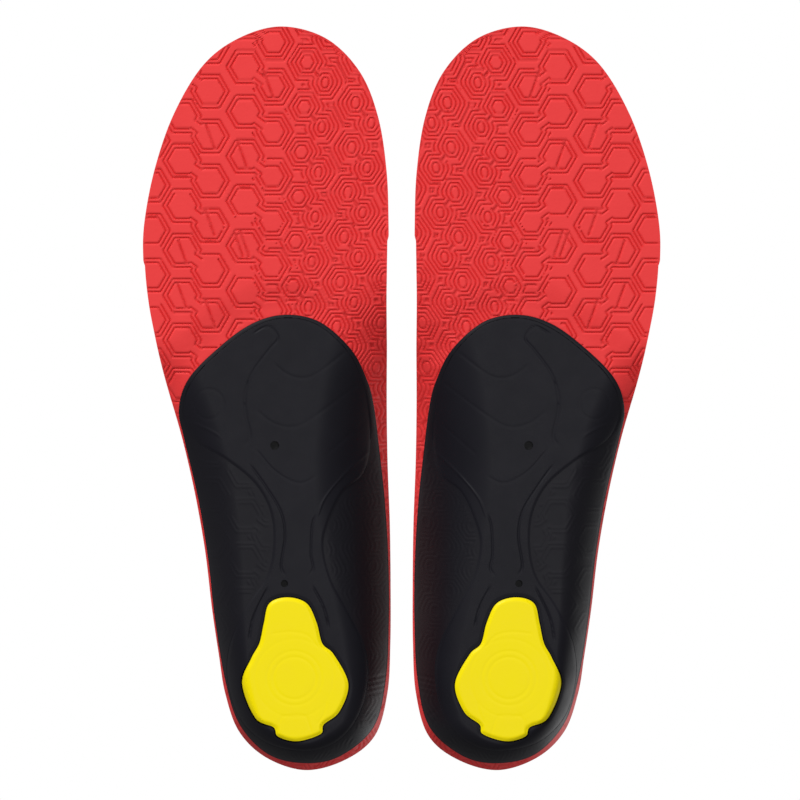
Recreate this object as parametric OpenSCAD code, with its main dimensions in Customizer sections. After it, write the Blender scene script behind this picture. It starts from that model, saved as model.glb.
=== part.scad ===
// A pair of cushioned insoles lying side by side, foot side up.
// The toes point to -Y and the heels to +Y. The right-foot insole is on -X.
// The origin is on the ground, in the middle of the pair.

/* [Pair] */
// Length from the back of the heel to the tip of the toe
insole_length = 270; // [220:1:310]
// Greatest width, across the ball of the foot
insole_width = 90; // [75:1:105]
// Gap between the inner edges of the two insoles
pair_gap = 6; // [4:1:40]

/* [Side walls] */
// Height of the wall round the heel cup, on its outside
heel_wall_h = 18; // [10:0.5:22]
// Height of the wall that carries the arch
arch_wall_h = 25; // [14:0.5:30]
// Height of the wall along the outer side of the foot
outer_wall_h = 14; // [6:0.5:18]

/* [Layers] */
// Thickness of the bone-shaped stabiliser plate
plate_t = 0.8; // [0.6:0.1:1.2]
// Thickness of the arch shell above the plate
shell_t = 0.8; // [0.6:0.1:1.2]
// Room for the glue between two layers of the shell
glue_gap = 0.1; // [0.1:0.05:0.3]
// Thickness of the base foam in front of the flex line
front_base_t = 3.2; // [2.4:0.1:5]
// Thickness of the base foam above the shell, behind the flex line
mid_base_t = 1.5; // [1:0.1:3]
// Thickness of the base foam above the shell, under the heel
heel_base_t = 4.2; // [3.4:0.1:6]
// Thickness of the cushion foam in front of the flex line
front_cushion_t = 1.6; // [1:0.1:3]
// Thickness of the cushion foam under the heel
heel_cushion_t = 2; // [1:0.1:4]
// Thickness of the fabric top cover
cover_t = 0.8; // [0.5:0.1:1.5]

/* [Heel pad] */
// Thickness of the heel pad
pad_t = 3.6; // [2.4:0.1:4.6]
// Gap all round the heel pad
pad_gap = 0.4; // [0.2:0.1:1]

/* [Openings] */
// Radius of the vent hole under the ball of the foot
front_vent_r = 1.6; // [1:0.1:2.5]
// Radius of the vent hole in front of the heel pad
rear_vent_r = 1.3; // [0.8:0.1:2]
// Gap between the rear and front parts along the flex line
flex_gap = 0.3; // [0.2:0.05:1]

/* [Hidden] */

// The outlines below are drawn for an insole of this length and width.
// A point is [across from the inner edge, forward from the back of the heel].
drawn_length = 270;
drawn_width = 90;
across = insole_width / drawn_width;
along = insole_length / drawn_length;
function fit(p) = [p[0] * across, p[1] * along];

// Rear outline, from the outer end of the flex line round the heel to its
// inner end: [across, forward, height of the side wall, width of the wall].
REAR = [
    [88.6, 170, 0, 10],
    [85.8, 156, 0, 11],
    [81.6, 140, 0.36 * outer_wall_h, 13],
    [76.2, 121, 0.7 * outer_wall_h, 14.5],
    [71.6, 101, 0.9 * outer_wall_h, 15],
    [67.9, 80, outer_wall_h, 14],
    [65.4, 59, 1.04 * outer_wall_h, 12.5],
    [62.9, 42, (outer_wall_h + heel_wall_h) / 2, 11],
    [60.6, 28, 0.96 * heel_wall_h, 10.5],
    [55.6, 14.2, heel_wall_h, 10.5],
    [45.6, 4.6, heel_wall_h, 11],
    [31.2, 0, heel_wall_h, 11.5],
    [16.6, 3.8, heel_wall_h, 12.5],
    [5.8, 12.6, heel_wall_h, 14],
    [1.2, 28, 1.06 * heel_wall_h, 15],
    [0.1, 46, (2 * heel_wall_h + arch_wall_h) / 3, 18],
    [0, 68, 0.94 * arch_wall_h, 23],
    [0.3, 90, arch_wall_h, 27],
    [1.1, 112, 0.99 * arch_wall_h, 28],
    [1.4, 133, 0.82 * arch_wall_h, 26],
    [1.3, 153, 0.46 * arch_wall_h, 22],
    [1, 170, 0.14 * arch_wall_h, 17],
    [0.8, 183, 0, 13],
    [0.7, 197, 0, 12]
];

// Front outline, from the inner end of the flex line round the toes to its
// outer end.
FRONT = [
    [0.7, 197], [1.4, 217], [4.5, 237], [11.2, 253.5], [23.4, 265.6],
    [39.7, 270], [55.2, 265.8], [68.2, 256], [78.8, 238.5], [85.8, 218.5],
    [89.6, 199], [90, 185], [88.6, 170]
];

// Front edge of the arch shell, where it crosses the flat of the sole
SHELL_FRONT = [[68.5, 149.5], [60, 156], [49.5, 162.5], [38.8, 165.5], [28.5, 164]];

// Two broad lobes in front, a narrow waist and a ring round the heel pad
PLATE = [
    [31, 7.5], [45.5, 10.5], [55.5, 20], [59.6, 34], [58.4, 47], [52.5, 60],
    [45.2, 71], [42.8, 82], [43.8, 94], [49.3, 104.3], [59.5, 112.9],
    [70.3, 119.5], [74.6, 126.5], [75, 134], [71.5, 142.3], [62.6, 151.6],
    [50.4, 160.6], [38.8, 164.2], [26.6, 161.8], [15.8, 152.2], [10.4, 141],
    [8.2, 131], [7.4, 118], [10.2, 107.6], [17.5, 101.4], [22.5, 91.2],
    [24.5, 82], [22, 70.5], [16, 59], [9.8, 46], [8.3, 34], [11.4, 21],
    [19.5, 11]
];

// A neck to the front, two shoulders and a tail
PAD = [
    [37.7, 63.4], [44.2, 61.2], [46.2, 54], [47.8, 46.8], [50.8, 41.2],
    [54.1, 32], [49.3, 19.6], [42.7, 16.3], [41.1, 12.9], [34.1, 11.2],
    [25.6, 13.8], [24.4, 17.3], [18.8, 21.9], [15.5, 32], [20.8, 42.7],
    [24.9, 46.6], [27, 54.2], [30.6, 61.2]
];
FRONT_VENT = [42.2, 118.2];
REAR_VENT = [38.7, 68.3];

// Facets between two outline points, and rings between a wall's rim and foot
SPAN_STEPS = 3;
SPLINE_STEPS = 4;
WALL_RINGS = 6;
// How the rings crowd towards the rim, and how the wall's slope grows
RING_CROWDING = 1.25;
WALL_CURVE = 1.9;
// A wall this high has its layers leaning fully inwards at the rim
LEANING_WALL_H = 7;
// Cutting slabs reach above and below the whole insole
SLAB_H = 80;

// A level is the height of one boundary between two layers:
// [at the flex line, behind it, under the heel, inset at the rim,
//  rise over the rim, extra width of the wall's foot].
skin_t = plate_t + glue_gap + shell_t + glue_gap;
GROUND = [0, 0, 0, 0, 0, 0];
PLATE_TOP = thin_level(plate_t);
SHELL_BOTTOM = thin_level(plate_t + glue_gap);
SHELL_TOP = thin_level(skin_t - glue_gap);
BASE_BOTTOM = [0, skin_t, skin_t, 0.94 * skin_t, 0.3 * skin_t, 0];
BASE_TOP = [
    front_base_t, skin_t + mid_base_t, skin_t + heel_base_t,
    0.94 * skin_t + 0.9, 0.3 * skin_t + 0.2, 2
];
CUSHION_TOP = raised(BASE_TOP, front_cushion_t, heel_cushion_t, 0.7);
COVER_TOP = raised(CUSHION_TOP, cover_t, cover_t, 0.8);

// A boundary that stays the same depth inside the outer surface
function thin_level(depth) = [depth, depth, depth, 0.94 * depth, 0.3 * depth, 0];

// A boundary that lies a layer above another one
function raised(level, front, heel, rim) = [
    level[0] + front, level[1] + front, level[2] + heel,
    level[3] + rim, level[4] + 0.15, level[5] + 1
];

function mix(a, b, f) = a + (b - a) * f;
function ease(f) = let (g = min(1, max(0, f))) g * g * (3 - 2 * g);
function unit(v) = v / norm(v);

// Catmull-Rom curve between b and c, with a before and d after them
function curve_point(a, b, c, d, f) =
    b + (c - a) * f / 2
    + (a - 2.5 * b + 2 * c - d / 2) * f * f
    + (1.5 * (b - c) + (d - a) / 2) * f * f * f;

function open_curve(points, steps) = let (last = len(points) - 1) [
    for (i = [0 : last - 1], k = [0 : steps - 1])
        curve_point(points[max(0, i - 1)], points[i], points[i + 1],
            points[min(last, i + 2)], k / steps),
    points[last]
];

function closed_curve(points, steps) = let (n = len(points)) [
    for (i = [0 : n - 1], k = [0 : steps - 1])
        curve_point(points[(i + n - 1) % n], points[i], points[(i + 1) % n],
            points[(i + 2) % n], k / steps)
];

// The wall runs between the second and the last but one rear points. Each
// station of it is [across, forward, wall height, wall width].
flex_outer = fit(REAR[0]);
flex_inner = fit(REAR[len(REAR) - 1]);
rear_rim = [for (p = REAR) [p[0] * across, p[1] * along, p[2], p[3] * across]];
rim_curve = open_curve(rear_rim, SPAN_STEPS);
last_station = len(rim_curve) - 1 - 2 * SPAN_STEPS;
stations = [for (i = [0 : last_station]) rim_curve[i + SPAN_STEPS]];
wall_start = stations[0];
wall_end = stations[last_station];

// Unit direction from the rim inwards. It is square to the rim, and turns
// parallel to the flex line where the wall runs out.
front_line = unit([wall_end[0] - wall_start[0], wall_end[1] - wall_start[1]]);
function rim_run(i) = let (
    a = stations[max(0, i - 1)],
    b = stations[min(last_station, i + 1)]
) unit([b[0] - a[0], b[1] - a[1]]);
function inwards(i) = let (
    run = rim_run(i),
    square = [run[1], -run[0]],
    near_start = ease(1 - i / (4 * SPAN_STEPS)),
    near_end = ease(1 - (last_station - i) / (4 * SPAN_STEPS))
) unit(square * (1 - near_start - near_end)
    + front_line * (near_start - near_end));

// Height of a level over its core, falling from the heel to the flex line
heel_run = wall_start[1];
function core_height(level, p) = let (
    line_s = wall_start[1]
        + (wall_end[1] - wall_start[1]) * (p[0] - wall_start[0])
        / (wall_end[0] - wall_start[0]),
    f = (line_s - p[1]) / heel_run
) mix(level[1], level[2], f);

// A point of a level at station i and ring k, counted from the rim inwards
function wall_point(level, i, k) = let (
    rim = stations[i],
    lean = ease(rim[2] / LEANING_WALL_H),
    f = pow(k / WALL_RINGS, RING_CROWDING),
    inset = level[3] * lean,
    p = [rim[0], rim[1]] + inwards(i)
        * mix(inset, rim[3] + level[5] * lean, f),
    core = core_height(level, p),
    rim_z = rim[2] + mix(core, level[4], lean)
) [p[0], p[1], core + (rim_z - core) * pow(1 - f, WALL_CURVE)];

// The corners of the two triangles between stations i and i + 1 and rings k
// and k + 1. Their shared side climbs towards the heel on both walls.
function cell(i, k) = i < last_station / 2
    ? [
        [[i, k], [i + 1, k], [i, k + 1]],
        [[i + 1, k], [i + 1, k + 1], [i, k + 1]]
    ]
    : [
        [[i, k], [i + 1, k], [i + 1, k + 1]],
        [[i, k], [i + 1, k + 1], [i, k + 1]]
    ];
function flip(face) = [for (i = [len(face) - 1 : -1 : 0]) face[i]];

// Everything between two levels over the rear part of the insole
module rear_layer(low, high) {
    rings = WALL_RINGS + 1;
    count = last_station + 1;
    top = count * rings;
    corners = 2 * top;
    function at(surface, i, k) = surface * top + i * rings + k;
    outer = [flex_outer[0], flex_outer[1] - flex_gap / 2];
    inner = [flex_inner[0], flex_inner[1] - flex_gap / 2];
    points = [
        for (level = [low, high], i = [0 : last_station], k = [0 : WALL_RINGS])
            wall_point(level, i, k),
        [outer[0], outer[1], low[0]],
        [inner[0], inner[1], low[0]],
        [outer[0], outer[1], high[0]],
        [inner[0], inner[1], high[0]]
    ];
    function core(surface) = [
        for (i = [0 : last_station]) at(surface, i, WALL_RINGS)
    ];
    function strip(surface) = [
        for (k = [0 : WALL_RINGS]) at(surface, 0, k),
        for (k = [WALL_RINGS : -1 : 0]) at(surface, last_station, k),
        corners + 2 * surface + 1, corners + 2 * surface
    ];
    faces = [
        for (i = [0 : last_station - 1], k = [0 : WALL_RINGS - 1])
            for (corner = cell(i, k)) each [
                [for (c = corner) at(0, c[0], c[1])],
                flip([for (c = corner) at(1, c[0], c[1])])
            ],
        for (i = [0 : last_station - 1]) each [
            [at(0, i, 0), at(1, i, 0), at(1, i + 1, 0)],
            [at(0, i, 0), at(1, i + 1, 0), at(0, i + 1, 0)]
        ],
        core(0), flip(core(1)), strip(0), flip(strip(1)),
        [at(0, 0, 0), corners, corners + 2, at(1, 0, 0)],
        [corners, corners + 1, corners + 3, corners + 2],
        [corners + 1, at(0, last_station, 0), at(1, last_station, 0), corners + 3]
    ];
    polyhedron(points = points, faces = faces, convexity = 6);
}

// The shell's edge follows the second ring round the heel and cuts down to
// the foot of the wall between these stations and its front edge.
SHELL_START = 1;
shell_end = last_station - 5;
function shell_edge_ring(i) =
    max(1, WALL_RINGS - min(i - SHELL_START, shell_end - i));

// What lies between two levels over the arch shell's outline
module shell_layer(low, high) {
    rings = WALL_RINGS + 1;
    count = shell_end - SHELL_START + 1;
    top = count * rings;
    front = 2 * top;
    edge = open_curve([for (p = SHELL_FRONT) fit(p)], SPLINE_STEPS);
    function at(surface, i, k) =
        surface * top + (i - SHELL_START) * rings + k;
    function front_at(surface, n) = front + surface * len(edge) + n;
    points = [
        for (level = [low, high], i = [SHELL_START : shell_end])
            for (k = [0 : WALL_RINGS]) wall_point(level, i, k),
        for (level = [low, high], p = edge)
            [p[0], p[1], core_height(level, p)]
    ];
    kept = [
        for (i = [SHELL_START : shell_end - 1], k = [1 : WALL_RINGS - 1])
            for (corner = cell(i, k))
                if (min([for (c = corner) c[1] - shell_edge_ring(c[0])]) >= 0)
                    corner
    ];
    function core(surface) = [
        for (i = [SHELL_START : shell_end]) at(surface, i, WALL_RINGS),
        for (n = [len(edge) - 1 : -1 : 0]) front_at(surface, n)
    ];
    function border(surface) = [
        for (i = [SHELL_START : shell_end])
            at(surface, i, shell_edge_ring(i)),
        for (n = [len(edge) - 1 : -1 : 0]) front_at(surface, n)
    ];
    lower = border(0);
    upper = border(1);
    last = len(lower) - 1;
    faces = [
        for (corner = kept) each [
            [for (c = corner) at(0, c[0], c[1])],
            flip([for (c = corner) at(1, c[0], c[1])])
        ],
        core(0), flip(core(1)),
        for (n = [0 : last]) let (m = n == last ? 0 : n + 1) each [
            [lower[n], upper[n], upper[m]],
            [lower[n], upper[m], lower[m]]
        ]
    ];
    polyhedron(points = points, faces = faces, convexity = 6);
}

// The front part of the insole between two heights
module front_layer(low, high) {
    toe = open_curve([for (p = FRONT) fit(p)], SPLINE_STEPS);
    last = len(toe) - 1;
    cut = [
        for (i = [0 : last])
            [toe[i][0], toe[i][1] + (i == 0 || i == last ? flex_gap / 2 : 0)]
    ];
    translate([0, 0, low])
        linear_extrude(high - low) polygon(cut);
}

module outline(points) {
    polygon([for (p = closed_curve(points, SPLINE_STEPS)) fit(p)]);
}

// Where the pad sits, with a gap all round for the layers that it passes
module pad_window() {
    offset(delta = pad_gap) outline(PAD);
}

module vent(place, radius) {
    translate(fit(place)) circle(radius, $fn = 48);
}

// An outline as a slab from below the ground up to a height
module slab(top = SLAB_H) {
    translate([0, 0, -SLAB_H])
        linear_extrude(SLAB_H + top) children();
}

// side is 1 for the left foot and -1 for the right foot
module placed(side) {
    if (side > 0)
        translate([pair_gap / 2, insole_length / 2, 0])
            mirror([0, 1, 0]) children();
    else
        translate([-pair_gap / 2, insole_length / 2, 0])
            rotate([0, 0, 180]) children();
}

module base_foam_rear(side) color("#E23B38") placed(side)
    difference() {
        rear_layer(BASE_BOTTOM, BASE_TOP);
        slab(pad_t + glue_gap) pad_window();
    }

module base_foam_front(side) color("#E23B38") placed(side)
    front_layer(0, BASE_TOP[0]);

module cushion_foam_rear(side) color("#D9D4C8") placed(side)
    rear_layer(BASE_TOP, CUSHION_TOP);

module cushion_foam_front(side) color("#D9D4C8") placed(side)
    front_layer(BASE_TOP[0], CUSHION_TOP[0]);

module top_cover_rear(side) color("#35363A") placed(side)
    rear_layer(CUSHION_TOP, COVER_TOP);

module top_cover_front(side) color("#35363A") placed(side)
    front_layer(CUSHION_TOP[0], COVER_TOP[0]);

module arch_shell(side) color("#1F1F24") placed(side)
    difference() {
        shell_layer(SHELL_BOTTOM, SHELL_TOP);
        slab() pad_window();
        slab() vent(FRONT_VENT, front_vent_r);
        slab() vent(REAR_VENT, rear_vent_r);
    }

// One thin moulding with facets all over, like its outline. A resize by
// nothing keeps its sizes.
module stabiliser_plate(side) color("#26262C") placed(side)
    resize([0, 0, 0]) difference() {
        intersection() {
            rear_layer(GROUND, PLATE_TOP);
            slab() outline(PLATE);
        }
        slab() pad_window();
        slab() vent(FRONT_VENT, front_vent_r);
        slab() vent(REAR_VENT, rear_vent_r);
    }

module heel_pad(side) color("#F4E00C") placed(side)
    intersection() {
        rear_layer(GROUND, BASE_TOP);
        slab(pad_t) outline(PAD);
    }

base_foam_rear(-1);  // right_base_foam_rear
base_foam_front(-1);  // right_base_foam_front
cushion_foam_rear(-1);  // right_cushion_foam_rear
cushion_foam_front(-1);  // right_cushion_foam_front
top_cover_rear(-1);  // right_top_cover_rear
top_cover_front(-1);  // right_top_cover_front
arch_shell(-1);  // right_arch_shell
stabiliser_plate(-1);  // right_stabiliser_plate
heel_pad(-1);  // right_heel_pad
base_foam_rear(1);  // left_base_foam_rear
base_foam_front(1);  // left_base_foam_front
cushion_foam_rear(1);  // left_cushion_foam_rear
cushion_foam_front(1);  // left_cushion_foam_front
top_cover_rear(1);  // left_top_cover_rear
top_cover_front(1);  // left_top_cover_front
arch_shell(1);  // left_arch_shell
stabiliser_plate(1);  // left_stabiliser_plate
heel_pad(1);  // left_heel_pad
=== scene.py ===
import math

import bmesh
import bpy
import numpy as np
from mathutils import Matrix, Vector


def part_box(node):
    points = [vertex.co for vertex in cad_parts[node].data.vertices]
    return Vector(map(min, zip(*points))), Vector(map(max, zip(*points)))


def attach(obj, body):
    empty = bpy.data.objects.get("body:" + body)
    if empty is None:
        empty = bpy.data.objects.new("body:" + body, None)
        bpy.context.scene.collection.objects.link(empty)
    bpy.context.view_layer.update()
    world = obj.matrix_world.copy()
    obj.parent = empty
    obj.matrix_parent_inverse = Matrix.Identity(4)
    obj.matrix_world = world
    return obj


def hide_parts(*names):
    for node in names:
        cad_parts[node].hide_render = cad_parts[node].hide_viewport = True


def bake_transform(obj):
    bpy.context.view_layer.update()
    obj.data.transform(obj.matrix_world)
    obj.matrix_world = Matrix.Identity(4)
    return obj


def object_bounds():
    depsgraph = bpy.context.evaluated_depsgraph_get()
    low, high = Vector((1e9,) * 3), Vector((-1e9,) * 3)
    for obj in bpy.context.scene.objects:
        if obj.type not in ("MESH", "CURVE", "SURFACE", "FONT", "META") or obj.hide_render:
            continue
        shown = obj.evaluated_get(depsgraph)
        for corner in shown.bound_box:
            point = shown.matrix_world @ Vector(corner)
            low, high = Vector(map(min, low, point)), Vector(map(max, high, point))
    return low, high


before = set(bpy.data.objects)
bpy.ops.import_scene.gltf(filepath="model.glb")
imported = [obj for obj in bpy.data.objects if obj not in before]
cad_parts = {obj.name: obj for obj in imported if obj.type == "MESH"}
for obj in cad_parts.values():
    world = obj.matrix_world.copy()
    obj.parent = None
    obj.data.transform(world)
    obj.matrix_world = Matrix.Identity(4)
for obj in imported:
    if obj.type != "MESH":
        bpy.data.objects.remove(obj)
cad_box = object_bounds()
SIDES = {"right": -1, "left": 1}


# ---------------------------------------------------------------- camera
# The pair is looked at square on from underneath, toes up, so that the soles
# show. Image right is +X, and image up is -Y.
CAMERA_DISTANCE = 4.5
CAMERA_ACROSS = -0.0006
CAMERA_ALONG = -0.0005
PICTURE_WIDTH = 0.2892
SENSOR_WIDTH = 36
camera_data = bpy.data.cameras.new("camera")
camera_data.sensor_width = SENSOR_WIDTH
camera_data.lens = SENSOR_WIDTH * CAMERA_DISTANCE / PICTURE_WIDTH
camera_data.clip_end = 20
camera = bpy.data.objects.new("camera", camera_data)
camera.matrix_world = Matrix((
    (1, 0, 0, CAMERA_ACROSS), (0, -1, 0, CAMERA_ALONG),
    (0, 0, -1, -CAMERA_DISTANCE), (0, 0, 0, 1)
))
bpy.context.collection.objects.link(camera)
bpy.context.scene.camera = camera


# ------------------------------------------------------------- base foam
# The red sheet that everything else is glued to: closed-cell EVA foam, hot
# pressed, so its underside carries a sharp relief of stepped hexagons. It is
# one piece from heel to toe, with its rim pressed up into a cup and an arch.

# Sizes in millimetres. An outline point is [across from the inner edge,
# forward from the back of the heel, height of the side wall, its width].
HEEL_WALL = 18
ARCH_WALL = 25
OUTER_WALL = 14
RIM = [
    [88.6, 170, 0, 10], [85.8, 156, 0, 11], [81.6, 140, 5, 13],
    [76.2, 121, 9.8, 14.5], [71.6, 101, 12.6, 15], [67.9, 80, OUTER_WALL, 14],
    [65.4, 59, 14.6, 12.5], [62.9, 42, 16, 11], [60.6, 28, 17.3, 10.5],
    [55.6, 14.2, HEEL_WALL, 10.5], [45.6, 4.6, HEEL_WALL, 11],
    [31.2, 0, HEEL_WALL, 11.5], [16.6, 3.8, HEEL_WALL, 12.5],
    [5.8, 12.6, HEEL_WALL, 14], [1.2, 28, 19.1, 15], [0.1, 46, 20.3, 18],
    [0, 68, 23.5, 23], [0.3, 90, ARCH_WALL, 27], [1.1, 112, 24.8, 28],
    [1.4, 133, 20.5, 26], [1.3, 153, 11.5, 22], [1, 170, 3.5, 17],
    [0.8, 183, 0, 13], [0.7, 197, 0, 12], [1.4, 217, 0, 10],
    [4.5, 237, 0, 10], [11.2, 253.5, 0, 10], [23.4, 265.6, 0, 10],
    [39.7, 270, 0, 10], [55.2, 265.8, 0, 10], [68.2, 256, 0, 10],
    [78.8, 238.5, 0, 10], [85.8, 218.5, 0, 10], [89.6, 199, 0, 10],
    [90, 185, 0, 10]
]
WALL_CURVE = 1.9
LEANING_WALL = 7
GAP = 2000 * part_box("left_base_foam_rear")[0][0]
LENGTH = 1000 * (cad_box[1][1] - cad_box[0][1])
LONGEST = 400
FLEX_INNER = (0.7, 197)
FLEX_OUTER = (88.6, 170)
FLEX_HEIGHT = 5.6
# From this line the layers thin towards the toes, over FOREFOOT_RAMP, and
# thicken towards the heel
THINNING_INNER = (0.8, 183)
THINNING_OUTER = (85.8, 156)
FOREFOOT_RAMP = 14
OUTLINE_STEPS = 16
MOULDING_STEPS = 8
CHUNK = 4000


def closed_curve(points, steps):
    """A Catmull-Rom curve through points, back to the first one."""
    a = np.array(points, float)
    before, after, beyond = (np.roll(a, k, axis=0) for k in (1, -1, -2))
    f = (np.arange(steps) / steps)[None, :, None]
    a, before, after, beyond = (x[:, None, :] for x in (a, before, after, beyond))
    curve = (
        a + (after - before) * f / 2
        + (before - 2.5 * a + 2 * after - beyond / 2) * f**2
        + (1.5 * (a - after) + (beyond - before) / 2) * f**3
    )
    return curve.reshape(-1, a.shape[-1])


def open_curve(points, steps):
    """The same curve, with both ends free."""
    a = np.array(points, float)
    a = np.vstack([2 * a[0] - a[1], a, 2 * a[-1] - a[-2]])
    return closed_curve(a, steps)[steps:-2 * steps + 1]


def smooth(low, high, x):
    """A soft step, from 0 at low to 1 at high."""
    f = np.clip((x - low) / (high - low), 0, 1)
    return f * f * (3 - 2 * f)


def nearest(points, curve, closed=True):
    """Distance to a curve, and the curve's values at the nearest place."""
    ends = np.roll(curve, -1, axis=0) if closed else curve[1:]
    starts = curve if closed else curve[:-1]
    run = ends[:, :2] - starts[:, :2]
    far = np.empty(len(points))
    values = np.empty((len(points), curve.shape[1]))
    for first in range(0, len(points), CHUNK):
        p = points[first:first + CHUNK]
        off = p[:, None, :] - starts[None, :, :2]
        f = np.clip((off * run).sum(2) / (run * run).sum(1), 0, 1)
        gap = np.linalg.norm(off - f[..., None] * run, axis=2)
        best = gap.argmin(1)
        rows = np.arange(len(p))
        far[first:first + CHUNK] = gap[rows, best]
        share = f[rows, best][:, None]
        values[first:first + CHUNK] = starts[best] * (1 - share) + ends[best] * share
    return far, values


rim = closed_curve(RIM, OUTLINE_STEPS)
rim[:, 2] = np.maximum(rim[:, 2], 0)


def inside(points, curve):
    """Whether each point lies inside a closed curve."""
    x, y = points[:, 0][:, None], points[:, 1][:, None]
    a, b = curve, np.roll(curve, -1, axis=0)
    crosses = (a[:, 1] > y) != (b[:, 1] > y)
    rise = np.where(b[:, 1] == a[:, 1], 1e-9, b[:, 1] - a[:, 1])
    meets = a[:, 0] + (y - a[:, 1]) * (b[:, 0] - a[:, 0]) / rise
    return ((crosses & (x < meets)).sum(1) % 2) == 1


# A level is one boundary between layers: its height at the toes, behind the
# flex line and under the heel, its inset and rise at the rim, and how much
# wider than the outer wall its foot spreads.
SOLE = (0, 0, 0, 0, 0, 0)
BASE_TOP = (3.2, 3.3, 6, 2.6, 0.75, 2)


def level_height(points, level):
    """Height of a level over points [across, forward]."""
    toe, mid, heel, inset, rise, wider = level
    far, at = nearest(points, rim)
    wall, width = at[:, 2], at[:, 3]
    lean = smooth(0, LEANING_WALL, wall)
    across, forward = points[:, 0], points[:, 1]
    (inner_x, inner_y), (outer_x, outer_y) = THINNING_INNER, THINNING_OUTER
    start = inner_y + (outer_y - inner_y) * (across - inner_x) / (outer_x - inner_x)
    behind = (start - forward) / outer_y
    core = np.where(behind > 0, mid + (heel - mid) * behind,
                    mid + (toe - mid) * np.clip(-behind * outer_y / FOREFOOT_RAMP, 0, 1))
    start = inset * lean
    f = np.clip((far - start) / (width + wider * lean - start), 0, 1)
    edge = wall + core * (1 - lean) + rise * lean
    return core + (edge - core) * (1 - f) ** WALL_CURVE


def grown(curve, grow):
    """A closed curve moved outwards by grow."""
    after = np.roll(curve, -1, axis=0)
    run = after - np.roll(curve, 1, axis=0)
    out = np.column_stack([run[:, 1], -run[:, 0]]) / np.linalg.norm(run, axis=1)[:, None]
    area = (curve[:, 0] * after[:, 1] - after[:, 0] * curve[:, 1]).sum()
    return curve + out * grow * (1 if area > 0 else -1)


def halves(curve):
    """A closed curve's inner and outer half, each ordered by forward place."""
    back, tip = curve[:, 1].argmin(), curve[:, 1].argmax()
    n = len(curve)
    one = [curve[(back + k) % n] for k in range((tip - back) % n + 1)]
    two = [curve[(back - k) % n] for k in range((back - tip) % n + 1)]
    pair = sorted((np.array(one), np.array(two)), key=lambda c: c[:, 0].mean())
    for c in pair:
        c[:, 1] = np.maximum.accumulate(c[:, 1])
    return pair


def rows_between(low, high, zones):
    """Forward places of the rows, crowded towards both ends.

    Each zone is (where it ends, how far apart its rows are)."""
    ends = np.array([0, 0.02, 0.08, 0.18, 0.34, 0.56, 0.84, 1.2, 1.6])
    rows = [low + ends]
    start = low + ends[-1]
    for stop, step in zones:
        stop = min(stop, high - ends[-1])
        rows.append(np.linspace(start, stop, int((stop - start) / step) + 1)[1:])
        start = stop
    return np.concatenate(rows[:-1] + [rows[-1][:-1], (high - ends)[::-1]])


# How much higher the groove bottoms count when a quad is split in two
GROOVE_PULL = 0.8
# How far points may settle, as a share of the way to the next point
SETTLING_ROOM = 0.48
SMALLEST_TURN = 0.01


def sheet_mesh(curve, places, lower, upper, crowd, settle):
    """A closed sheet over an outline, built from rows across it.

    lower and upper are (height function, inset, number of columns), and crowd
    is how much the points of a row crowd to its ends. settle moves the lower
    points on to the relief. The points are [across, forward, up]."""
    inner, outer = halves(curve)
    ends = []
    for half in (inner, outer):
        ends.append(np.column_stack([np.interp(places, half[:, 1], half[:, 0]), places]))
    run = np.gradient(ends[0], axis=0), np.gradient(ends[1], axis=0)
    normals = []
    for k, r in enumerate(run):
        n = np.column_stack([r[:, 1], -r[:, 0]]) * (1 if k == 0 else -1)
        normals.append(n / np.maximum(np.linalg.norm(n, axis=1), 1e-9)[:, None])
    points, faces = [], []
    count = 0
    grids = []
    for number, (height, inset, across) in enumerate((lower, upper)):
        a = ends[0] + normals[0] * inset
        b = ends[1] + normals[1] * inset
        share = np.linspace(0, 1, across)
        if crowd:
            share = share - np.sin(2 * math.pi * share) * crowd / (2 * math.pi)
        part = share[None, :, None]
        plan = a[:, None, :] * (1 - part) + b[:, None, :] * part
        if settle and number == 0:
            step = np.minimum(np.gradient(places), (b - a)[:, 0] / across)
            room = np.repeat(SETTLING_ROOM * step[1:-1], across - 2)
            loose = plan[1:-1, 1:-1]
            plan[1:-1, 1:-1] = settle(loose.reshape(-1, 2), room).reshape(loose.shape)
        flat = plan.reshape(-1, 2)
        points.append(np.column_stack([flat, height(flat)]))
        grids.append(count + np.arange(len(flat)).reshape(len(places), across))
        count += len(flat)
    low, high = grids
    a, b, c, d = low[:-1, :-1], low[1:, :-1], low[1:, 1:], low[:-1, 1:]
    if settle:
        z = points[0][:, 2]
        plan = points[0][:, :2]

        def turn(i, j, k):
            one, two = plan[j] - plan[i], plan[k] - plan[i]
            return one[..., 0] * two[..., 1] - one[..., 1] * two[..., 0]

        usual = np.sign(np.median(turn(a, b, c)))
        first = np.minimum(usual * turn(a, b, c), usual * turn(a, c, d))
        second = np.minimum(usual * turn(a, b, d), usual * turn(b, c, d))
        level = (np.abs(z[a] - z[c]) - GROOVE_PULL * (z[a] + z[c])
                 <= np.abs(z[b] - z[d]) - GROOVE_PULL * (z[b] + z[d]))
        level = np.where(
            np.minimum(first, second) < SMALLEST_TURN, first > second, level)[..., None]
        one = np.where(level, np.stack([a, b, c], -1), np.stack([a, b, d], -1))
        two = np.where(level, np.stack([a, c, d], -1), np.stack([b, c, d], -1))
        faces += [one.reshape(-1, 3), two.reshape(-1, 3)]
    else:
        faces.append(np.stack([a, b, c, d], -1).reshape(-1, 4))
    top = [high[:-1, :-1], high[:-1, 1:], high[1:, 1:], high[1:, :-1]]
    faces.append(np.stack(top, -1).reshape(-1, 4))
    return points, faces, low, high, ends, normals, count


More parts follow.
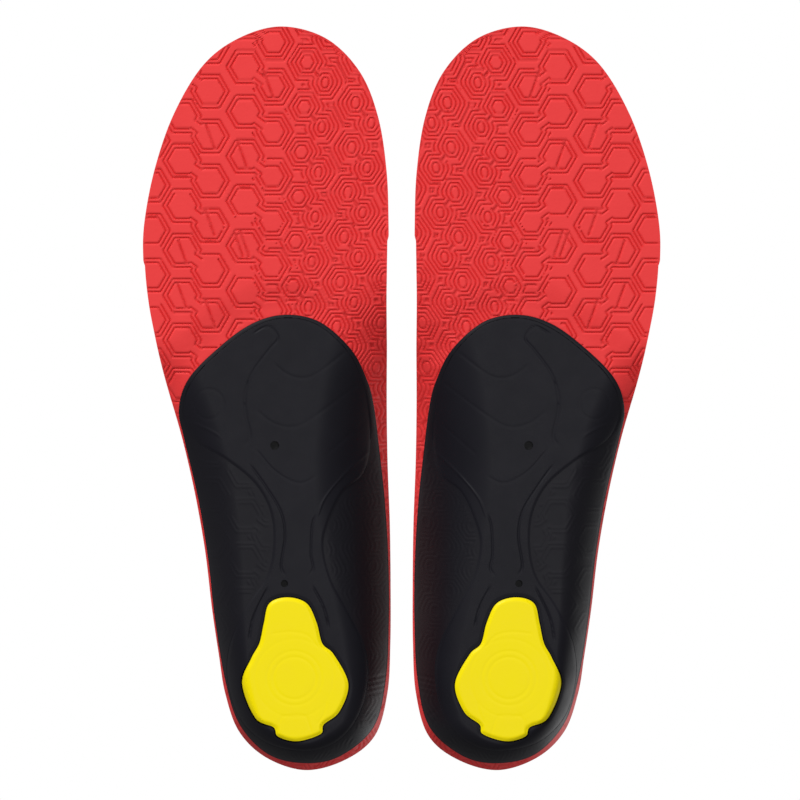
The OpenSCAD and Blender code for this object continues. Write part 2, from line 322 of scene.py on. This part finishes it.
def rounded_sheet(curve, places, lower, upper, rounding, crowd=0.0, settle=None):
    """sheet_mesh with its edge closed by a rounded wall."""
    points, faces, low, high, ends, normals, count = sheet_mesh(
        curve, places, lower, upper, crowd, settle)
    low_points, high_points = points
    loops = []
    for side, column in ((0, 0), (1, -1)):
        bottom = low_points[low[:, column]]
        top = high_points[high[:, column] - low.size]
        columns_here = [low[:, column]]
        for part in (0.14, 0.5, 0.86):
            p = bottom * (1 - part) + top * part
            p[:, :2] -= normals[side] * rounding
            points.append(p)
            columns_here.append(count + np.arange(len(p)))
            count += len(p)
        columns_here.append(high[:, column])
        loops.append(columns_here)
    for side, chain in enumerate(loops):
        for one, two in zip(chain[:-1], chain[1:]):
            quad = np.stack([one[:-1], two[:-1], two[1:], one[1:]], -1)
            faces.append(quad if side == 0 else quad[:, ::-1])
    # The heel and toe ends, where a row has no length to speak of
    for row, flip in ((0, False), (-1, True)):
        ring = [c[row] for c in loops[0]] + list(high[row, 1:-1])
        ring += [c[row] for c in loops[1][::-1]] + list(low[row, 1:-1][::-1])
        faces.append([ring[::-1] if flip else ring])
    return np.vstack(points), [list(map(int, f)) for g in faces for f in g]


def build(name, points, faces, side, values=None):
    """One piece from local points [across, forward, up] in millimetres."""
    place = SIDES[side]
    world = np.column_stack([
        place * (GAP / 2 + points[:, 0]), LENGTH / 2 - points[:, 1], points[:, 2]
    ]) / 1000
    mesh = bpy.data.meshes.new(name)
    kept = faces if place < 0 else [f[::-1] for f in faces]
    mesh.from_pydata(world.tolist(), [], kept)
    mesh.validate()
    mesh.update()
    for key, field in (values or {}).items():
        mesh.attributes.new(key, "FLOAT", "POINT").data.foreach_set(
            "value", field.astype(np.float32))
    piece = bpy.data.objects.new(name, mesh)
    bpy.context.collection.objects.link(piece)
    return piece


def finish_mesh(piece, angle=50):
    """Merges points that coincide, turns faces outwards and shades smooth."""
    bm = bmesh.new()
    bm.from_mesh(piece.data)
    bmesh.ops.remove_doubles(bm, verts=bm.verts, dist=2e-6)
    bmesh.ops.dissolve_degenerate(bm, edges=bm.edges, dist=1e-6)
    bmesh.ops.recalc_face_normals(bm, faces=bm.faces)
    for edge in bm.edges:
        pair = len(edge.link_faces) == 2
        edge.smooth = pair and edge.calc_face_angle(0) < math.radians(angle)
    for face in bm.faces:
        face.smooth = True
    bm.to_mesh(piece.data)
    bm.free()


# The relief is a set of contour lines round hexagonal cells, pressed in as
# V grooves. The cells stand in columns, each a step further to the heel than
# the one outside it, and pairs of them run together through a neck.
# A column is [across, lean towards the heel, cell's inner radius, how much
# taller than a regular hexagon a cell is, how far out its contours go, half
# the width of the neck to the next column]. A negative neck joins only the
# outer contours.
CELL_PITCH = 16.2
COLUMN_STEP = 7.3
FIRST_CELL = 228.3
LEAN_FROM = 208
CELL_COLUMNS = [
    [86.8, 0, 4.6, 0, 6.5, None], [75.6, 0, 4.65, 0, 6.5, 1.6],
    [65.5, 0, 4.65, 0, 6.5, None], [52.8, 0, 4.6, 0, 6.5, 1.3],
    [43.1, 0.01, 3.8, 0, 6.8, None], [33.5, 0.063, 2.1, 0.3, 7.8, -1.1],
    [27, 0.075, 1.1, 0.8, 7.6, None], [15.8, 0.085, 1.3, 0.8, 8.2, -1.1],
    [9.8, 0.097, 1.1, 0.8, 8.2, None], [-0.8, 0.1, 1.3, 0.8, 8.2, -1.1],
    [-6.5, 0.1, 1.3, 0.8, 8.2, None]
]
CONTOUR_STEP = 1.36
GROOVE_DEPTH = 0.5
GROOVE_WIDTH = 0.46
# Slanting bars as [across, forward]
BARS = [
    [65.5, 230], [65.5, 198.5], [65.5, 166], [75.8, 172.7], [44.5, 249],
    [54, 223.6], [55.2, 191], [53, 191], [75.5, 188]
]
BAR_HALF = 4.6
BAR_SLANT = 0.36
BAR_WIDTH = 1.3
BAR_DEPTH = 1.2


def contour_field(points):
    """Distance outside the nearest cell, and how far its contours go."""
    best = np.full(len(points), 99.0)
    limit = np.zeros(len(points))
    for n, (place, lean, radius, taller, reach, half) in enumerate(CELL_COLUMNS):
        across = points[:, 0] - place - lean * (LEAN_FROM - points[:, 1])
        start = FIRST_CELL - COLUMN_STEP * n
        forward = (points[:, 1] - start + CELL_PITCH / 2) % CELL_PITCH - CELL_PITCH / 2
        dx, dy = np.abs(across), np.maximum(np.abs(forward) - taller, 0)
        cell = np.maximum(dy, 0.866 * dx + 0.5 * dy) - radius
        if half is not None:
            to = np.array([CELL_COLUMNS[n + 1][0] - place, -COLUMN_STEP])
            for shift in (-CELL_PITCH, 0, CELL_PITCH):
                y = forward + shift
                f = np.clip((across * to[0] + y * to[1]) / (to @ to), 0, 1)
                neck = np.hypot(across - f * to[0], y - f * to[1]) - half
                cell = np.minimum(cell, neck)
        closer = cell < best
        best = np.where(closer, cell, best)
        limit = np.where(closer, reach - radius, limit)
    return best, limit


def bar_field(points):
    """Distance to the nearest slanting bar's centre line."""
    best = np.full(len(points), 99.0)
    for across, forward in BARS:
        u, v = points[:, 0] - across, points[:, 1] - forward
        over = np.maximum(np.abs(v) - BAR_HALF, 0)
        best = np.minimum(best, np.hypot(0.94 * (u - BAR_SLANT * v), over * 2))
    return best


def relief(points, half=GROOVE_WIDTH):
    """How deep the relief is pressed into the foam, from 0 to 1."""
    field, limit = contour_field(points)
    line = np.round(field / CONTOUR_STEP)
    off = np.abs(field - line * CONTOUR_STEP)
    drawn = (line >= 0) & (line * CONTOUR_STEP <= limit)
    groove = np.where(drawn, 1 - off / half, 0)
    bar = 1 - bar_field(points) / (BAR_WIDTH * half)
    return np.clip(np.maximum(groove, BAR_DEPTH * bar), 0, 1)


def settle(points, room):
    """Moves points sideways on to the edges and bottoms of the grooves."""
    step = 0.02
    first = points
    for field in (lambda p: contour_field(p)[0], bar_field):
        here = field(points)
        slope = np.column_stack([
            field(points + np.array([step, 0])) - field(points - np.array([step, 0])),
            field(points + np.array([0, step])) - field(points - np.array([0, step])),
        ]) / (2 * step)
        steep = np.maximum((slope * slope).sum(1), 0.3)
        if field is bar_field:
            bar_width = BAR_WIDTH * GROOVE_WIDTH
            target = np.round(here / bar_width) * bar_width
            use = here < 3 * GROOVE_WIDTH
        else:
            part = here / CONTOUR_STEP
            whole = np.round(part)
            side = np.clip(np.round((part - whole) * CONTOUR_STEP / GROOVE_WIDTH), -1, 1)
            target = whole * CONTOUR_STEP + side * GROOVE_WIDTH
            use = np.ones(len(points), bool)
        moved = points + slope * ((target - here) / steep)[:, None]
        use &= np.linalg.norm(moved - first, axis=1) < room
        points = np.where(use[:, None], moved, points)
    return points


SHELL = [
    [31, 3.0], [44.6, 6.1], [55.2, 17.2], [60.3, 33], [64, 55], [66.5, 77],
    [70, 98.5], [75, 120], [77, 131], [73.6, 142], [63.4, 152.8], [51, 162],
    [38.8, 165.5], [26, 163], [14.4, 152.8], [8.5, 141], [6.1, 131],
    [4.3, 116], [2.4, 98.5], [1.1, 77], [0.9, 55], [2, 33.3], [6.3, 16.2],
    [18.4, 5.6]
]
shell_curve = closed_curve(SHELL, MOULDING_STEPS)
SHELL_PROUD = 1.3
SHELL_SEAT = 1.75


def base_sole(points):
    """Underside of the base foam: walls, relief and the shell's seat."""
    height = level_height(points, SOLE)
    far, _ = nearest(points, rim)
    off, _ = nearest(points, shell_curve)
    under = inside(points, shell_curve)
    fade = smooth(0.2, 1.6, far)
    seat = np.where(
        under, SHELL_PROUD + (SHELL_SEAT - SHELL_PROUD) * smooth(0, 1.5, off),
        SHELL_PROUD * (1 - smooth(2, 14, off)))
    pattern = GROOVE_DEPTH * relief(points) * fade * np.where(under, 0, 1)
    return height + seat + pattern


# The front of the sheet stands a little proud, and ends in a small step on
# each side.
STEP = 0.5
STEP_HALF = 0.7
OUTER_STEP = 184
INNER_STEP = 193
BASE_COLUMNS = 168
base_outline = rim[:, :2].copy()
outer_side = base_outline[:, 0] > 45
forward = base_outline[:, 1]
step_in = np.where(
    outer_side,
    (1 - smooth(OUTER_STEP - STEP_HALF, OUTER_STEP + STEP_HALF, forward))
    * smooth(140, 165, forward),
    (1 - smooth(INNER_STEP - STEP_HALF, INNER_STEP + STEP_HALF, forward))
    * smooth(150, 175, forward))
base_outline[:, 0] += STEP * step_in * np.where(outer_side, -1, 1)
base_rows = rows_between(
    rim[:, 1].min(), rim[:, 1].max(), [(15, 0.45), (108, 0.8), (LONGEST, 0.5)])
base_points, base_faces = rounded_sheet(
    base_outline, base_rows,
    (base_sole, 0.3, BASE_COLUMNS), (lambda p: level_height(p, BASE_TOP), 2.6, 16),
    0.22, crowd=0.06, settle=settle)


class Value:
    """A shader socket that can be used in sums and products."""

    def __init__(self, tree, socket):
        self.tree = tree
        self.socket = socket

    def node(self, kind, settings=None, **inputs):
        """Adds a node; settings come first, then its sockets by name."""
        node = self.tree.nodes.new(kind)
        for key, setting in (settings or {}).items():
            setattr(node, key, setting)
        for key, given in inputs.items():
            if key.startswith("n"):
                target = node.inputs[int(key[1:])]
            else:
                target = node.inputs[key.replace("_", " ")]
            if isinstance(given, Value):
                self.tree.links.new(given.socket, target)
            else:
                target.default_value = given
        return node

    def out(self, kind, settings=None, output=0, **inputs):
        return Value(self.tree, self.node(kind, settings, **inputs).outputs[output])

    def math(self, operation, a, b=0.0):
        return self.out("ShaderNodeMath", {"operation": operation}, n0=a, n1=b)

    def __add__(self, other):
        return self.math("ADD", self, other)

    __radd__ = __add__

    def __mul__(self, other):
        return self.math("MULTIPLY", self, other)

    __rmul__ = __mul__

    def mix(self, one, two):
        """one where this value is 0 and two where it is 1, as colours."""
        return self.out("ShaderNodeMix", {"data_type": "RGBA"}, output=2,
                        n0=self, n6=one, n7=two)


class Finish:
    """A material with one Principled shader, made from Value expressions."""

    def __init__(self, name, **fixed):
        self.material = bpy.data.materials.new(name)
        self.material.use_nodes = True
        self.tree = self.material.node_tree
        self.shader = self.tree.nodes["Principled BSDF"]
        for key, value in fixed.items():
            self.shader.inputs[key.replace("_", " ")].default_value = value
        place = self.tree.nodes.new("ShaderNodeTexCoord")
        self.place = Value(self.tree, place.outputs["Object"])

    def field(self, name):
        return self.place.out("ShaderNodeAttribute", {"attribute_name": name}, output=2)

    def noise(self, scale, detail=3.0, rough=0.55):
        return self.place.out("ShaderNodeTexNoise", None, Vector=self.place,
                              Scale=scale, Detail=detail, Roughness=rough)

    def link(self, name, value):
        self.tree.links.new(value.socket, self.shader.inputs[name])

    def bump(self, height, distance, strength=1.0):
        self.link("Normal", self.place.out(
            "ShaderNodeBump", None, Height=height, Distance=distance, Strength=strength))


red = Finish("pressed_red_foam", Specular_IOR_Level=0.2)
mottle = red.noise(90, 4)
# Painted shade: the foam turns deep red in the bottoms of the relief grooves
groove = red.field("pressed")
RED = (0.81, 0.036, 0.038, 1)
RED_PALE = (0.87, 0.052, 0.052, 1)
RED_GROOVE_SHADE = (0.50, 0.012, 0.012, 1)
# Black for the painted shade in the gap round the pad and in the vents
GAP_SHADE_BLACK = (0.002, 0.002, 0.003, 1)
red.link("Base Color", red.field("film").mix(
    groove.mix(mottle.mix(RED, RED_PALE), RED_GROOVE_SHADE), GAP_SHADE_BLACK))
red.link("Roughness", 0.50 + 0.14 * mottle)
skin = red.noise(2600, 2) * 0.5 + red.noise(700, 3)
red.bump(skin, 0.00012, 0.5)

# Painted shade in the grooves, following the relief's depth
base_groove_shade = np.zeros(len(base_points))
low_count = len(base_rows) * BASE_COLUMNS
base_groove_shade[:low_count] = 0.6 * relief(base_points[:low_count, :2])
# Painted shade: the base is black under the shell, so the narrow gap round the pad and the
# vents show dark
film = inside(base_points[:, :2], grown(shell_curve, -0.8)) & (
    np.arange(len(base_points)) < low_count)
FLEX_HALF_BAND = 14
toe_wards = Vector((0, -1, 0))


def flex_end(place, end):
    """One end of the flex line, in metres in the frame."""
    across, forward = end
    return Vector((place * (GAP / 2 + across), LENGTH / 2 - forward, FLEX_HEIGHT)) / 1000


for side, place in SIDES.items():
    piece = build(side + "_base_sheet", base_points, base_faces, side,
                  {"pressed": base_groove_shade, "film": film.astype(float)})
    finish_mesh(piece, 60)
    piece.data.materials.append(red.material)
    inner, outer = flex_end(place, FLEX_INNER), flex_end(place, FLEX_OUTER)
    line = (outer - inner).normalized()
    ahead = (toe_wards - line * toe_wards.dot(line)).normalized() * FLEX_HALF_BAND / 1000
    centre = (inner + outer) / 2
    side + "_rear"
    side + "_forefoot"
    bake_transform(piece)
    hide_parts(side + "_base_foam_rear", side + "_base_foam_front")


# ---------------------------------------------------------- cushion foam
# A softer open-cell foam between the base and the cover. It is cut to the
# same outline, glued on both faces, and only its edge shows.
CUSHION_TOP = (4.8, 4.9, 8, 3.3, 0.9, 3)
cushion_rows = rows_between(
    rim[:, 1].min(), rim[:, 1].max(), [(15, 0.5), (LONGEST, 1.2)])
cushion_points, cushion_faces = rounded_sheet(
    rim[:, :2], cushion_rows,
    (lambda p: level_height(p, BASE_TOP) + 0.02, 2.6, 40),
    (lambda p: level_height(p, CUSHION_TOP), 3.3, 40), 0.0)
foam = Finish("open_cell_foam", Specular_IOR_Level=0.2)
cells = foam.place.out("ShaderNodeTexVoronoi", None, Vector=foam.place, Scale=2200.0)
foam.link("Base Color", cells.mix((0.55, 0.52, 0.46, 1), (0.70, 0.67, 0.60, 1)))
foam.link("Roughness", 0.85 + 0.1 * cells)
foam.bump(cells, 0.0002, 0.6)
for side in SIDES:
    piece = build(side + "_cushion_sheet", cushion_points, cushion_faces, side)
    finish_mesh(piece, 60)
    piece.data.materials.append(foam.material)
    side + "_rear"
    side + "_forefoot"
    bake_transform(piece)
    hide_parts(side + "_cushion_foam_rear", side + "_cushion_foam_front")


# ------------------------------------------------------------- top cover
# The knitted polyester that the foot lies on. It is laminated to the cushion
# and cut flush with it.
COVER_TOP = (5.6, 5.7, 8.8, 4.1, 1.05, 4)
cover_rows = rows_between(
    rim[:, 1].min(), rim[:, 1].max(), [(15, 0.5), (LONGEST, 1)])
cover_points, cover_faces = rounded_sheet(
    rim[:, :2], cover_rows,
    (lambda p: level_height(p, CUSHION_TOP) + 0.02, 3.3, 60),
    (lambda p: level_height(p, COVER_TOP), 4.1, 90), 0.05)
knit = Finish("knitted_cover", Specular_IOR_Level=0.15, Sheen_Weight=0.25,
              Sheen_Roughness=0.5)
loops = knit.place.out("ShaderNodeTexVoronoi", {"feature": "F1"}, Vector=knit.place,
                       Scale=1500.0, Randomness=0.25)
heather = knit.noise(420, 5, 0.7)
knit.link("Base Color", heather.mix((0.020, 0.021, 0.026, 1), (0.085, 0.087, 0.098, 1)))
knit.link("Roughness", 0.78 + 0.15 * heather)
knit.bump(loops, 0.00025, 0.7)
for side in SIDES:
    piece = build(side + "_cover_fabric", cover_points, cover_faces, side)
    finish_mesh(piece, 60)
    piece.data.materials.append(knit.material)
    side + "_rear"
    side + "_forefoot"
    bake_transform(piece)
    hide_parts(side + "_top_cover_rear", side + "_top_cover_front")


# ------------------------------------------------------------ arch shell
# A thin satin thermoplastic moulding under the heel and arch, which keeps
# the foam's shape. The hexagons run on over it as fine raised lines.
SHELL_SINK = 0.42
PLATE = [
    [31, 7.5], [45.5, 10.5], [55.5, 20], [59.6, 34], [58.4, 47], [52.5, 60],
    [45.2, 71], [42.8, 82], [43.8, 94], [49.3, 104.3], [59.5, 112.9],
    [70.3, 119.5], [74.6, 126.5], [75, 134], [71.5, 142.3], [62.6, 151.6],
    [50.4, 160.6], [38.8, 164.2], [26.6, 161.8], [15.8, 152.2], [10.4, 141],
    [8.2, 131], [7.4, 118], [10.2, 107.6], [17.5, 101.4], [22.5, 91.2],
    [24.5, 82], [22, 70.5], [16, 59], [9.8, 46], [8.3, 34], [11.4, 21],
    [19.5, 11]
]
PAD = [
    [37.7, 63.4], [44.2, 61.2], [46.2, 54], [47.8, 46.8], [50.8, 41.2],
    [54.1, 32], [49.3, 19.6], [42.7, 16.3], [41.1, 12.9], [34.1, 11.2],
    [25.6, 13.8], [24.4, 17.3], [18.8, 21.9], [15.5, 32], [20.8, 42.7],
    [24.9, 46.6], [27, 54.2], [30.6, 61.2]
]
VENTS = [[42.2, 118.2, 1.6], [38.7, 68.3, 1.3]]
WINDOW_GAP = 0.4
CUT_FROM = -3
CUT_TO = 6
VENT_SIDES = 40
plate_curve = closed_curve(PLATE, MOULDING_STEPS)
pad_curve = closed_curve(PAD, MOULDING_STEPS)


# Short marks beside the heel, each [start, end]
SHELL_MARKS = [
    [[8.2, 28], [2.4, 29.2]], [[8.2, 29.9], [2.4, 31.1]],
    [[8.2, 31.8], [2.4, 33]], [[8.2, 33.7], [2.4, 34.9]],
    [[6.2, 20.4], [10.4, 23.2]], [[8, 18.4], [12.2, 21.2]]
]


def shell_sole(points):
    """Outer face of the shell, with its hexagon lines beside the plate."""
    off, _ = nearest(points, plate_curve)
    under_plate = inside(points, plate_curve)
    beside = np.where(under_plate, 0, smooth(0.4, 2, off))
    toe_end = smooth(118, 130, points[:, 1]) * np.where(under_plate, 0, 1)
    height = level_height(points, SOLE) + SHELL_SINK - 0.33 * toe_end
    edge, _ = nearest(points, shell_curve)
    lines = relief(points, 0.5)
    rounding = 0.25 * (1 - smooth(0, 1.0, edge))
    for start, end in SHELL_MARKS:
        off, _ = nearest(points, np.array([start, end], float), closed=False)
        height = height + 0.22 * np.exp(-(off / 0.4) ** 2)
    return height - 0.16 * lines * beside * smooth(0.5, 2, edge) + rounding


def cut(piece, cutters):
    """Takes windows and holes out of a moulding."""
    for cutter in cutters:
        modifier = piece.modifiers.new("cut", "BOOLEAN")
        modifier.operation = "DIFFERENCE"
        modifier.solver = "EXACT"
        modifier.object = cutter
        bpy.context.view_layer.update()
        done = bpy.data.meshes.new_from_object(
            piece.evaluated_get(bpy.context.evaluated_depsgraph_get()))
        piece.modifiers.clear()
        old = piece.data
        piece.data = done
        bpy.data.meshes.remove(old)
        bpy.data.objects.remove(cutter)


def prism(curve, side, name):
    """A straight-sided cutter over an outline."""
    n = len(curve)
    points = np.vstack([
        np.column_stack([curve, np.full(n, z)]) for z in (CUT_FROM, CUT_TO)])
    faces = [list(range(n))[::-1], list(range(n, 2 * n))]
    faces += [[k, (k + 1) % n, n + (k + 1) % n, n + k] for k in range(n)]
    piece = build(name, points, faces, side)
    bm = bmesh.new()
    bm.from_mesh(piece.data)
    bmesh.ops.recalc_face_normals(bm, faces=bm.faces)
    bm.to_mesh(piece.data)
    bm.free()
    return piece


def openings(side):
    """Cutters for the pad's window and the two vents."""
    turn = np.linspace(0, 2 * math.pi, VENT_SIDES, endpoint=False)
    cutters = [prism(grown(pad_curve, WINDOW_GAP), side, "window")]
    for across, forward, radius in VENTS:
        circle = np.column_stack([across + radius * np.cos(turn),
                                  forward + radius * np.sin(turn)])
        cutters.append(prism(circle, side, "vent"))
    return cutters


shell_rows = rows_between(
    shell_curve[:, 1].min(), shell_curve[:, 1].max(), [(LONGEST, 0.5)])
shell_points, shell_faces = rounded_sheet(
    shell_curve, shell_rows, (shell_sole, 0.15, 160),
    (lambda p: level_height(p, SOLE) + SHELL_SEAT - 0.05, 0.15, 30), 0.12)
satin = Finish("satin_moulding", Specular_IOR_Level=0.15)
grain = satin.noise(1800, 2)
# Painted reflection: the shell turns maroon on its inner side near the rim, along the arch,
# in place of the red foam rim reflected in the satin surface
painted_red_reflection = satin.field("painted_red_reflection")
satin.link("Base Color", painted_red_reflection.mix((0.009, 0.0085, 0.012, 1), (0.016, 0.006, 0.008, 1)))
satin.link("Roughness", 0.46 + 0.12 * satin.noise(120, 3))
satin.bump(grain, 0.00006, 0.5)
# Mask of the painted reflection of the red rim: inner side, close to the rim, between heel
# and arch
reach, at = nearest(shell_points[:, :2], rim)
inner_side = (at[:, 0] < 20).astype(float)
shell_red_reflection_paint = (
    inner_side * (1 - smooth(2, 17, reach)) * smooth(14, 34, shell_points[:, 1])
    * (1 - smooth(78, 122, shell_points[:, 1]))
)
for side in SIDES:
    piece = build(side + "_shell_moulding", shell_points, shell_faces, side,
                  {"painted_red_reflection": shell_red_reflection_paint})
    finish_mesh(piece, 60)
    cut(piece, openings(side))
    finish_mesh(piece, 40)
    piece.data.materials.append(satin.material)
    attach(piece, side + "_rear")
    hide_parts(side + "_arch_shell")


# ------------------------------------------------------ stabiliser plate
# A smooth bone-shaped moulding welded under the shell. Two broad lobes carry
# the ball of the foot, the waist twists, and a ring holds the heel pad. Fine
# moulded lines cross it.
# Lines as [depth, points]; a negative depth is a raised line.
PLATE_LINES = [
    [0.3, [[50.8, 158.2], [44.8, 161.2], [41, 157.1], [44.3, 152.8], [50.1, 144.8],
           [52.9, 136.8], [52.6, 128.9], [51.1, 121.6], [53.7, 117.3]]],
    [0.2, [[43.2, 148.4], [38, 144.2], [32.7, 142.6], [27, 144.2], [15.7, 152.8]]],
    [0.17, [[49.3, 131.4], [43, 126.5], [35.6, 124.9], [28, 128.5], [10.2, 141.9]]],
    [0.17, [[9.1, 127.4], [24, 114.4]]],
    [0.18, [[49.3, 117.3], [42, 109], [33.4, 104.6], [26.5, 107.5]]],
    [-0.3, [[7.7, 116.6], [17.5, 107.2], [24, 99.2], [27, 92]]],
    [0.3, [[27, 94], [28.7, 89.1], [29.1, 78.9], [28.3, 73.8], [30.5, 70.6]]],
    [-0.22, [[73, 127], [62, 121.5], [51.5, 111.9]]],
    [0.35, [[51.5, 111.9], [45, 102.8], [39.9, 94.1], [38.5, 85.4], [39.9, 74.6],
            [37.7, 70.6]]],
    [0.4, [[44.3, 67.7], [49.9, 56.1], [51.7, 46.7]]],
    [0.4, [[28.9, 68.1], [24.5, 59.7], [22.4, 51.4]]],
    [0.2, [[22.5, 8.6], [29, 7.6], [36, 7.9], [44, 9.4]]],
]
LINE_WIDTH = 0.36
DISC = [66, 133.2, 5.4]


def plate_sole(points):
    """Outer face of the plate, with its moulded lines."""
    height = level_height(points, SOLE)
    edge, _ = nearest(points, plate_curve)
    window, _ = nearest(points, pad_curve)
    toe_end = smooth(118, 130, points[:, 1])
    height = height + (0.30 - 0.26 * toe_end) * (1 - smooth(0, 1.5, edge)) ** 2
    height = height + 0.22 * (1 - smooth(0.4, 1.5, window))
    for depth, route in PLATE_LINES:
        line = open_curve(route, MOULDING_STEPS)
        off, _ = nearest(points, line, closed=False)
        ends = np.minimum(
            np.linalg.norm(points - line[0], axis=1),
            np.linalg.norm(points - line[-1], axis=1))
        line_shape = np.exp(-(off / LINE_WIDTH) ** 2) * smooth(0, 3, ends)
        height = height + depth * 0.75 * line_shape
    radius = np.linalg.norm(points - np.array(DISC[:2]), axis=1)
    height = height + 0.10 * np.exp(-((radius - DISC[2]) / 0.4) ** 2)
    for across, forward, hole in VENTS:
        radius = np.linalg.norm(points - np.array([across, forward]), axis=1)
        height = height - 0.10 * np.exp(-((radius - hole - 0.7) / 0.5) ** 2)
    return np.maximum(height, 0.0)


plate_rows = rows_between(
    plate_curve[:, 1].min(), plate_curve[:, 1].max(), [(LONGEST, 0.5)])
plate_points, plate_faces = rounded_sheet(
    plate_curve, plate_rows, (plate_sole, 0.12, 140),
    (lambda p: level_height(p, SOLE) + SHELL_SINK + 0.02, 0.12, 30), 0.08)
moulding = Finish("smooth_moulding", Specular_IOR_Level=0.15)
moulding.link("Base Color", moulding.noise(60, 3).mix(
    (0.0065, 0.0062, 0.0095, 1), (0.0095, 0.009, 0.0135, 1)))
moulding.link("Roughness", 0.46 + 0.12 * moulding.noise(150, 3))
moulding.bump(moulding.noise(2200, 2), 0.00005, 0.5)
for side in SIDES:
    piece = build(side + "_plate_moulding", plate_points, plate_faces, side)
    finish_mesh(piece, 60)
    cut(piece, openings(side))
    finish_mesh(piece, 40)
    piece.data.materials.append(moulding.material)
    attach(piece, side + "_rear")
    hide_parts(side + "_stabiliser_plate")


# -------------------------------------------------------------- heel pad
# A soft gel pad that takes the shock of the heel. It is pressed into the
# window in the plate, and has shallow moulded rings and arcs.
PAD_CENTRE = [35.1, 34.1]
PAD_LINES = [
    [[26.8, 45.8], [30.5, 49.6], [36, 50.8], [43, 50.2]],
    [[26.5, 17.8], [24.6, 21], [23.6, 25]],
    [[41.5, 13], [40, 19.6], [36, 20.6], [32, 20.6], [30.5, 19.4], [28.4, 12.8]],
]


def pad_sole(points):
    """Outer face of the pad, with its moulded rings and arcs."""
    height = level_height(points, SOLE)
    edge, _ = nearest(points, pad_curve)
    height = height + 0.55 * (1 - smooth(0, 1.8, edge)) ** 1.6
    radius = np.linalg.norm(points - np.array(PAD_CENTRE), axis=1)
    for ring, depth in ((7.6, 0.07), (9.8, 0.055), (14.2, 0.03)):
        height = height + depth * np.exp(-((radius - ring) / LINE_WIDTH) ** 2)
    for route in PAD_LINES:
        off, _ = nearest(points, open_curve(route, MOULDING_STEPS), closed=False)
        height = height + 0.05 * np.exp(-(off / LINE_WIDTH) ** 2)
    return height


pad_rows = rows_between(
    pad_curve[:, 1].min(), pad_curve[:, 1].max(), [(LONGEST, 0.4)])
pad_points, pad_faces = rounded_sheet(
    pad_curve, pad_rows, (pad_sole, 0.1, 90),
    (lambda p: np.full(len(p), 3.5), 0.3, 20), 0.05)
gel = Finish("yellow_gel", Specular_IOR_Level=0.12)
clouds = gel.noise(70, 3)
gel.link("Base Color", clouds.mix((0.98, 0.79, 0.0, 1), (1.0, 0.84, 0.0, 1)))
gel.link("Roughness", 0.34 + 0.14 * clouds)
gel.bump(gel.noise(1500, 2), 0.00005, 0.4)
for side in SIDES:
    piece = build(side + "_gel_pad", pad_points, pad_faces, side)
    finish_mesh(piece, 60)
    piece.data.materials.append(gel.material)
    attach(piece, side + "_rear")
    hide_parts(side + "_heel_pad")


# ------------------------------------------------------- floor and light
# A pale floor under the pair. From below it can be seen through, and it takes
# no light from the lamps that stand under it.
FLOOR_SIZE = 6.0
floor_mesh = bpy.data.meshes.new("floor")
half = FLOOR_SIZE / 2
floor_mesh.from_pydata(
    [(-half, -half, 0), (half, -half, 0), (half, half, 0), (-half, half, 0)], [],
    [(0, 1, 2, 3)])
floor = bpy.data.objects.new("floor", floor_mesh)
bpy.context.collection.objects.link(floor)
paper = Finish("pale_paper", Specular_IOR_Level=0.2, Roughness=0.9)
paper.link("Base Color", paper.noise(3, 2).mix((0.80, 0.80, 0.79, 1), (0.84, 0.84, 0.83, 1)))
behind = paper.place.out("ShaderNodeNewGeometry", output=6)
clear = paper.place.out("ShaderNodeBsdfTransparent")
both = paper.tree.nodes.new("ShaderNodeMixShader")
paper.tree.links.new(behind.socket, both.inputs[0])
paper.tree.links.new(paper.shader.outputs[0], both.inputs[1])
paper.tree.links.new(clear.socket, both.inputs[2])
paper.tree.links.new(both.outputs[0], paper.tree.nodes["Material Output"].inputs[0])
floor_mesh.materials.append(paper.material)
floor.visible_shadow = False
floor.visible_diffuse = False
floor.visible_glossy = False
floor.visible_transmission = False


def lamp(name, place, size, power):
    """A round soft lamp that faces the pair."""
    data = bpy.data.lights.new(name, "AREA")
    data.shape = "DISK"
    data.size = size
    data.energy = power
    item = bpy.data.objects.new(name, data)
    item.location = place
    item.rotation_euler = (-Vector(place)).to_track_quat("-Z", "Y").to_euler()
    item.visible_camera = False
    bpy.context.collection.objects.link(item)


lamp("sole_key", (-0.9, -1.7, -1.5), 0.35, 41)
lamp("sole_fill", (0.3, -0.2, -2.6), 1.0, 17)
lamp("top_key", (-0.9, -0.8, 1.3), 0.7, 18)
lamp("top_fill", (1.1, 0.6, 1.2), 1.0, 8)

# A white studio: bright to the camera, and dimmer as a light
world = bpy.data.worlds.new("studio")
world.use_nodes = True
bpy.context.scene.world = world
sky = world.node_tree.nodes["Background"]
sky.inputs["Color"].default_value = (1, 1, 1, 1)
seen = world.node_tree.nodes.new("ShaderNodeBackground")
seen.inputs["Color"].default_value = (1, 1, 1, 1)
sky.inputs["Strength"].default_value = 0.26
path = world.node_tree.nodes.new("ShaderNodeLightPath")
choice = world.node_tree.nodes.new("ShaderNodeMixShader")
world.node_tree.links.new(path.outputs["Is Camera Ray"], choice.inputs[0])
world.node_tree.links.new(sky.outputs[0], choice.inputs[1])
world.node_tree.links.new(seen.outputs[0], choice.inputs[2])
world.node_tree.links.new(choice.outputs[0], world.node_tree.nodes["World Output"].inputs[0])
bpy.context.scene.view_settings.view_transform = "Standard"
